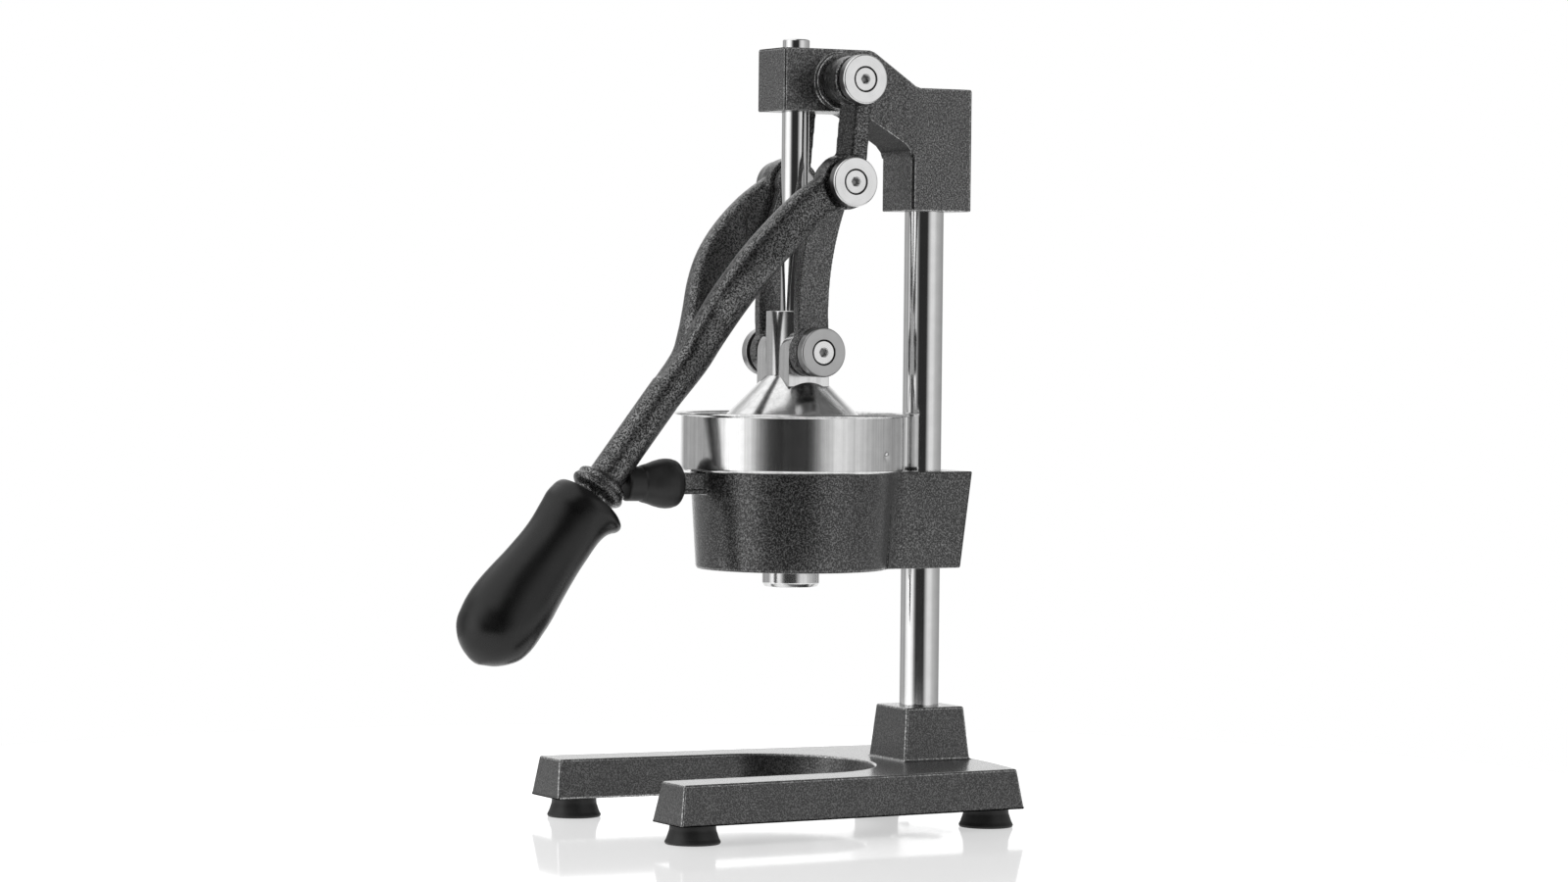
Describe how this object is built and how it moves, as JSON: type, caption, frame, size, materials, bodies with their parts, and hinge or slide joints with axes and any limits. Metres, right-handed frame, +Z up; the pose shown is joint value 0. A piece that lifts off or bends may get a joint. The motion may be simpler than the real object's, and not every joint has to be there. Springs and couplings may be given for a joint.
{
  "type": "citrus press juicer",
  "caption": "Hand-lever citrus press: forked lever and side links drive a polished press cone down into a steel juice cup held on a column over a U-shaped base.",
  "frame": {"origin": "middle of the bounding box, on the floor under the feet", "axes": "+Z up, -Y to the front where the lever's grip is and the user stands, +X to the user's right facing the machine"},
  "size_m": [0.1864, 0.3107, 0.4303],
  "materials": {
    "paint_coarse": "hammered dark grey powder coat with coarse light flecks",
    "paint_fine": "fine hammered dark grey powder coat",
    "chrome_bar": "mirror chrome on round bar",
    "chrome_cap": "turned and chromed, fine rings",
    "screw_steel": "bright turned screw heads",
    "sheet_steel": "spun stainless sheet, satin to bright",
    "cone_steel": "turned and polished",
    "shaft_steel": "ground steel",
    "fixing_steel": "zinc plated",
    "fixing_black": "black oxide",
    "bronze": "sintered bronze bush",
    "spacer_black": "dark plastic ring",
    "rubber_black": "matt moulded rubber",
    "grip_black": "semi-gloss moulded grip"
  },
  "bodies": {
    "frame": {"base_casting": "paint_coarse", "foot_front_left": "rubber_black", "foot_front_right": "rubber_black", "foot_rear_left": "rubber_black", "foot_rear_right": "rubber_black", "foot_screws": "fixing_steel", "column": "chrome_bar", "column_bolt": "fixing_steel", "column_bolt_washer": "fixing_steel", "head_casting": "paint_fine", "head_set_screws": "fixing_black", "pivot_a_shaft": "shaft_steel", "pivot_a_spacers": "spacer_black", "pivot_a_cap_left": "chrome_cap", "pivot_a_cap_right": "chrome_cap", "pivot_a_screws": "screw_steel", "bowl_bracket": "paint_coarse", "bracket_set_screws": "fixing_black", "stop_bumper": "rubber_black", "juice_cup": "sheet_steel", "strainer": "sheet_steel"},
    "plunger": {"press_rod": "chrome_bar", "press_cone": "cone_steel", "pivot_c_shaft": "shaft_steel", "pivot_c_spacers": "spacer_black", "pivot_c_cap_left": "chrome_cap", "pivot_c_cap_right": "chrome_cap", "pivot_c_screws": "screw_steel"},
    "link_l": {"link_left": "paint_fine", "link_bush_left": "bronze", "pin_head_left": "shaft_steel"},
    "link_r": {"link_right": "paint_fine", "link_bush_right": "bronze", "pin_head_right": "shaft_steel"},
    "lever": {"lever_casting": "paint_coarse", "lever_bushes": "bronze", "pivot_b_pins": "shaft_steel", "pivot_b_spacers": "spacer_black", "pivot_b_cap_left": "chrome_cap", "pivot_b_cap_right": "chrome_cap", "pivot_b_screws": "screw_steel", "grip": "grip_black"}
  },
  "joints": [
    {"name": "lever_hinge", "type": "hinge", "parent": "frame", "child": "lever", "pos_m": [0, 0.0625, 0.4074], "axis": [-1, 0, 0], "range_deg": [0, 120]},
    {"name": "press_slide", "type": "slide", "parent": "frame", "child": "plunger", "axis": [0, 0, 1], "range_m": [0, 0.09121]},
    {"name": "link_left_hinge", "type": "hinge", "parent": "plunger", "child": "link_l", "pos_m": [0, 0.044, 0.259], "axis": [1, 0, 0], "range_deg": [0, 24.92]},
    {"name": "link_right_hinge", "type": "hinge", "parent": "plunger", "child": "link_r", "pos_m": [0, 0.044, 0.259], "axis": [1, 0, 0], "range_deg": [0, 24.92]}
  ],
  "couplings": [
    {"joint": "press_slide", "follows": "lever_hinge", "m_per_rad": 0.043549},
    {"joint": "link_left_hinge", "follows": "lever_hinge", "ratio": 0.20766},
    {"joint": "link_right_hinge", "follows": "lever_hinge", "ratio": 0.20766}
  ]
}
